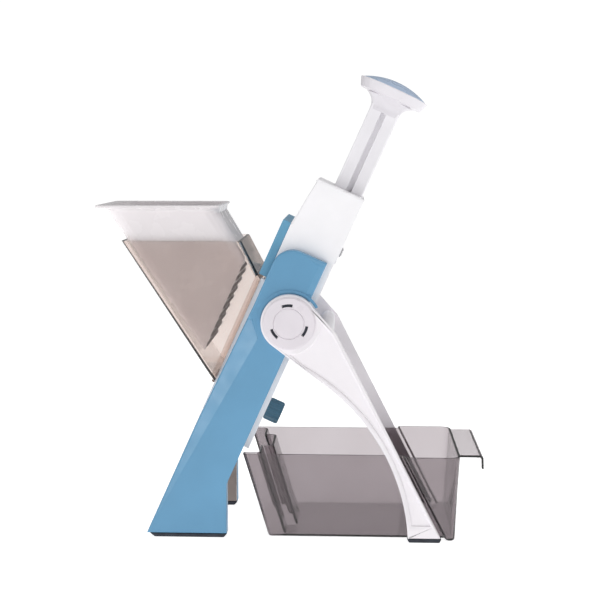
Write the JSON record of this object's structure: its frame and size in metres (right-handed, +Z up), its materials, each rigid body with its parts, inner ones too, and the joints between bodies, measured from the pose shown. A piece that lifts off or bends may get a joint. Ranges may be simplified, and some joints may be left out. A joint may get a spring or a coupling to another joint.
{
  "type": "mandoline slicer",
  "caption": "Upright hand mandoline: leaning body on a folding stand, spring plunger driving a slicing carriage, smoky feed hopper with pusher, and slide-in catch container.",
  "frame": {"origin": "on the surface it stands on, under the middle of the whole object's length and width", "axes": "+Z up, +X from the hopper at the front to the container's tab at the rear, +Y across, with the two sides mirrored about Y = 0"},
  "size_m": [0.3346, 0.1328, 0.4006],
  "materials": {
    "white_body": "satin moulded",
    "blue_body": "satin moulded",
    "clear_smoke": "clear smoke, polished",
    "clear_white": "frosted translucent",
    "steel": "brushed",
    "rubber_pad": "matte",
    "grey_plastic": "fine grained"
  },
  "bodies": {
    "root": {"main_frame": "white_body", "left_cover": "blue_body", "right_cover": "blue_body", "front_guard": "blue_body", "front_foot_pads": "rubber_pad", "hinge_pins": "steel", "leg_washers": "grey_plastic", "cover_screws": "steel", "spring_anchor_pins": "steel", "return_springs": "steel"},
    "plunger": {"carriage_frame": "white_body", "bed_plate": "white_body", "main_blade": "steel", "blade_screws": "steel", "plunger_rod": "white_body", "handle_knob": "white_body", "handle_cap": "blue_body", "spring_hook_pins": "steel"},
    "thickness_dial": {"thickness_knob": "blue_body", "adjuster_screw": "steel"},
    "landing": {"landing_plate": "white_body", "guide_pins": "steel"},
    "comb": {"comb_shaft": "steel", "julienne_blades": "steel", "comb_lever": "blue_body"},
    "stand": {"left_leg": "white_body", "right_leg": "white_body", "stand_crossbar": "white_body", "hub_caps": "white_body", "rear_foot_pads": "rubber_pad"},
    "hopper": {"hopper": "clear_smoke"},
    "pusher": {"food_pusher": "clear_white", "pusher_grip_plate": "clear_white"},
    "container": {"catch_container": "clear_smoke"},
    "lock": {"lock_slider": "grey_plastic"}
  },
  "joints": [
    {"name": "plunger_press", "type": "slide", "parent": "root", "child": "plunger", "axis": [-0.4115, 0, -0.9114], "range_m": [0, 0.07], "stiffness_N_per_m": 150, "springref_m": -0.05, "deforming": ["return_springs"]},
    {"name": "stand_fold", "type": "hinge", "parent": "root", "child": "stand", "pos_m": [-0.0004, 0, 0.19], "axis": [0, 1, 0], "range_deg": [0, 50]},
    {"name": "thickness_turn", "type": "hinge", "parent": "plunger", "child": "thickness_dial", "pos_m": [-0.01838, 0, 0.10157], "axis": [0.9114, 0, -0.4115], "range_deg": [-110, 170]},
    {"name": "landing_feed", "type": "slide", "parent": "plunger", "child": "landing", "axis": [0.9114, 0, -0.4115], "range_m": [-0.0031, 0.0048]},
    {"name": "comb_turn", "type": "hinge", "parent": "landing", "child": "comb", "pos_m": [-0.02574, 0, 0.19705], "axis": [0, 1, 0], "range_deg": [0, 80]},
    {"name": "hopper_lift", "type": "slide", "parent": "root", "child": "hopper", "axis": [-0.9114, 0, 0.4115], "range_m": [0, 0.06]},
    {"name": "pusher_feed", "type": "slide", "parent": "hopper", "child": "pusher", "axis": [-0.5255, 0, 0.8508], "range_m": [-0.015, 0.1]},
    {"name": "container_slide", "type": "slide", "parent": "root", "child": "container", "axis": [1, 0, 0], "range_m": [0, 0.15]},
    {"name": "lock_slide", "type": "slide", "parent": "root", "child": "lock", "axis": [0.4115, 0, 0.9114], "range_m": [0, 0.005]}
  ],
  "couplings": [
    {"joint": "thickness_turn", "follows": "landing_feed", "rad_per_m": 612}
  ]
}
